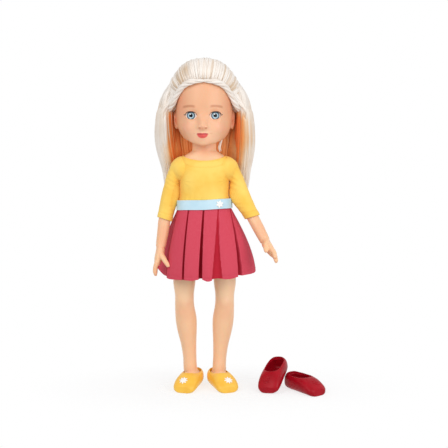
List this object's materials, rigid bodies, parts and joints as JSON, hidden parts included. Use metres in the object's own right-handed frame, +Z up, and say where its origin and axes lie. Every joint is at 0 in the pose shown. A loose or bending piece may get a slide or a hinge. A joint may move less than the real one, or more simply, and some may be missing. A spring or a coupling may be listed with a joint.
{
  "type": "fashion doll",
  "caption": "Jointed vinyl fashion doll with rooted hair, a yellow and crimson pleated dress, yellow ballet flats and a spare crimson pair.",
  "frame": {"origin": "middle of the base of the whole set's box, on the surface that the shoes stand on", "axes": "+Z up; the doll faces -Y; its left side and the spare flats are at +X"},
  "size_m": [0.1692, 0.094, 0.3298],
  "materials": {
    "vinylSkin": "soft satin vinyl, lightly blushed",
    "eyeAcrylic": "clear gloss over painted iris",
    "hairNylon": "fine glossy synthetic fibre",
    "hairShade": "fine glossy synthetic fibre, copper underneath",
    "hairBand": "elastic thread band",
    "yellowJersey": "fine cotton weave with topstitched edges",
    "blueRibbon": "satin ribbon with stitched edges",
    "whiteFelt": "matt moulded or felt flower",
    "redTwill": "fine twill weave, pressed pleats",
    "yellowVinyl": "satin moulded vinyl",
    "crimsonVinyl": "semi-gloss moulded vinyl",
    "knobNylon": "natural nylon"
  },
  "bodies": {
    "torso": {"torso_front_shell": "vinylSkin", "torso_back_shell": "vinylSkin", "neck_knob": "knobNylon", "bodice": "yellowJersey", "back_placket": "yellowJersey", "belt": "blueRibbon", "belt_flower": "whiteFelt", "skirt_left": "redTwill", "skirt_right": "redTwill"},
    "head": {"head": "vinylSkin", "eye_right": "eyeAcrylic", "eye_left": "eyeAcrylic", "hair_crown": "hairNylon", "hair_twist_right": "hairNylon", "hair_twist_left": "hairNylon", "hair_side_right": "hairNylon", "hair_side_left": "hairNylon", "hair_back": "hairShade", "hair_tie": "hairBand", "hair_tail": "hairNylon"},
    "arm_right": {"arm_right": "vinylSkin", "sleeve_right": "yellowJersey"},
    "arm_left": {"arm_left": "vinylSkin", "sleeve_left": "yellowJersey"},
    "leg_right": {"leg_right": "vinylSkin"},
    "leg_left": {"leg_left": "vinylSkin"},
    "shoe_right": {"shoe_right": "yellowVinyl", "shoe_flower_right": "whiteFelt"},
    "shoe_left": {"shoe_left": "yellowVinyl", "shoe_flower_left": "whiteFelt"},
    "spare_shoe_right": {"spare_shoe_right": "crimsonVinyl"},
    "spare_shoe_left": {"spare_shoe_left": "crimsonVinyl"}
  },
  "joints": [
    {"name": "head_turn", "type": "hinge", "parent": "torso", "child": "head", "pos_m": [-0.03383, -0.00234, 0.2514], "axis": [0, 0, 1], "range_deg": [-80, 80], "deforming": ["hair_side_right", "hair_side_left", "hair_back", "hair_tail"]},
    {"name": "shoulder_right", "type": "hinge", "parent": "torso", "child": "arm_right", "pos_m": [-0.03383, -0.00334, 0.2203], "axis": [-1, 0, 0], "range_deg": [-35, 130]},
    {"name": "shoulder_left", "type": "hinge", "parent": "torso", "child": "arm_left", "pos_m": [-0.03383, -0.00334, 0.2203], "axis": [-1, 0, 0], "range_deg": [-60, 105]},
    {"name": "hip_right", "type": "hinge", "parent": "torso", "child": "leg_right", "pos_m": [-0.03383, -0.00284, 0.153], "axis": [-1, 0, 0], "range_deg": [-20, 90], "deforming": ["skirt_right"]},
    {"name": "hip_left", "type": "hinge", "parent": "torso", "child": "leg_left", "pos_m": [-0.03383, -0.00284, 0.153], "axis": [-1, 0, 0], "range_deg": [-20, 90], "deforming": ["skirt_left"]},
    {"name": "shoe_off_right", "type": "slide", "parent": "leg_right", "child": "shoe_right", "axis": [-0.342, -0.9397, 0], "range_m": [0, 0.05], "deforming": ["shoe_right"]},
    {"name": "shoe_off_left", "type": "slide", "parent": "leg_left", "child": "shoe_left", "axis": [0.4226, -0.9063, 0], "range_m": [0, 0.05], "deforming": ["shoe_left"]},
    {"name": "spare_lift_right", "type": "slide", "parent": "torso", "child": "spare_shoe_right", "axis": [0, 0, 1], "range_m": [0, 0.08]},
    {"name": "spare_slide_left", "type": "slide", "parent": "torso", "child": "spare_shoe_left", "axis": [1, 0, 0], "range_m": [0, 0.06]}
  ]
}
